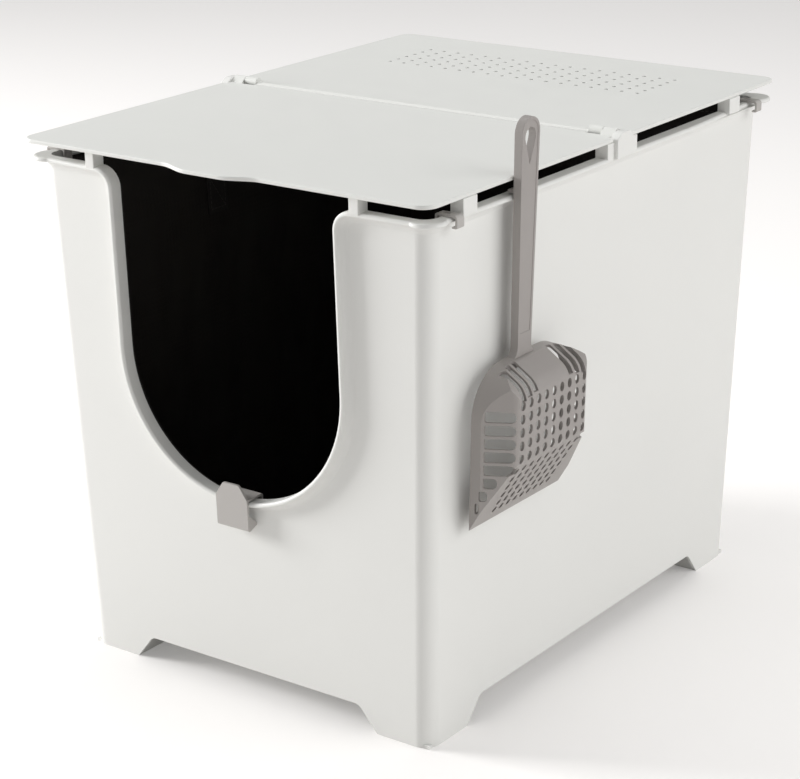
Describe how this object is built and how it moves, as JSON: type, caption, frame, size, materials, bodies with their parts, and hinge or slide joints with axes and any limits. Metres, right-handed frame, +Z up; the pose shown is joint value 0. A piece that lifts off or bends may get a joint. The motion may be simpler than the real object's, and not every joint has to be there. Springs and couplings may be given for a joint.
{
  "type": "litter box",
  "caption": "Covered litter box with a U-shaped front entry, a lid folding about a cross hinge, a hanging cloth liner, and a slotted scoop hooked on the side rim.",
  "frame": {"origin": "middle of the bounding box's footprint, on the floor", "axes": "+X to the right as seen from the entry, +Y to the back, +Z up; the entry faces -Y"},
  "size_m": [0.4344, 0.5372, 0.492],
  "materials": {
    "tub_plastic": "fine satin moulded plastic",
    "lid_plastic": "fine satin moulded plastic",
    "pin_steel": "plain drawn wire",
    "liner_cloth": "coated woven cloth",
    "webbing": "woven tape",
    "grey_plastic": "satin moulded plastic",
    "scoop_plastic": "satin moulded plastic"
  },
  "bodies": {
    "tub": {"tub": "tub_plastic", "hinge_pin_left": "pin_steel", "hinge_pin_right": "pin_steel", "liner_bag": "liner_cloth", "liner_handle_left": "webbing", "liner_handle_right": "webbing", "liner_hook_front_left": "grey_plastic", "liner_hook_front_right": "grey_plastic", "liner_hook_rear_left": "grey_plastic", "liner_hook_rear_right": "grey_plastic", "liner_clip": "grey_plastic"},
    "front_lid": {"front_lid": "lid_plastic"},
    "rear_lid": {"rear_lid": "lid_plastic"},
    "scoop": {"scoop": "scoop_plastic", "scoop_hook": "scoop_plastic"}
  },
  "joints": [
    {"name": "front_lid_hinge", "type": "hinge", "parent": "tub", "child": "front_lid", "pos_m": [0, 0.00655, 0.4487], "axis": [-1, 0, 0], "range_deg": [0, 180]},
    {"name": "rear_lid_hinge", "type": "hinge", "parent": "tub", "child": "rear_lid", "pos_m": [0, 0.00655, 0.4487], "axis": [-1, 0, 0], "range_deg": [-180, 0]},
    {"name": "scoop_lift", "type": "slide", "parent": "tub", "child": "scoop", "axis": [0.866, 0, 0.5], "range_m": [0, 0.15]}
  ]
}
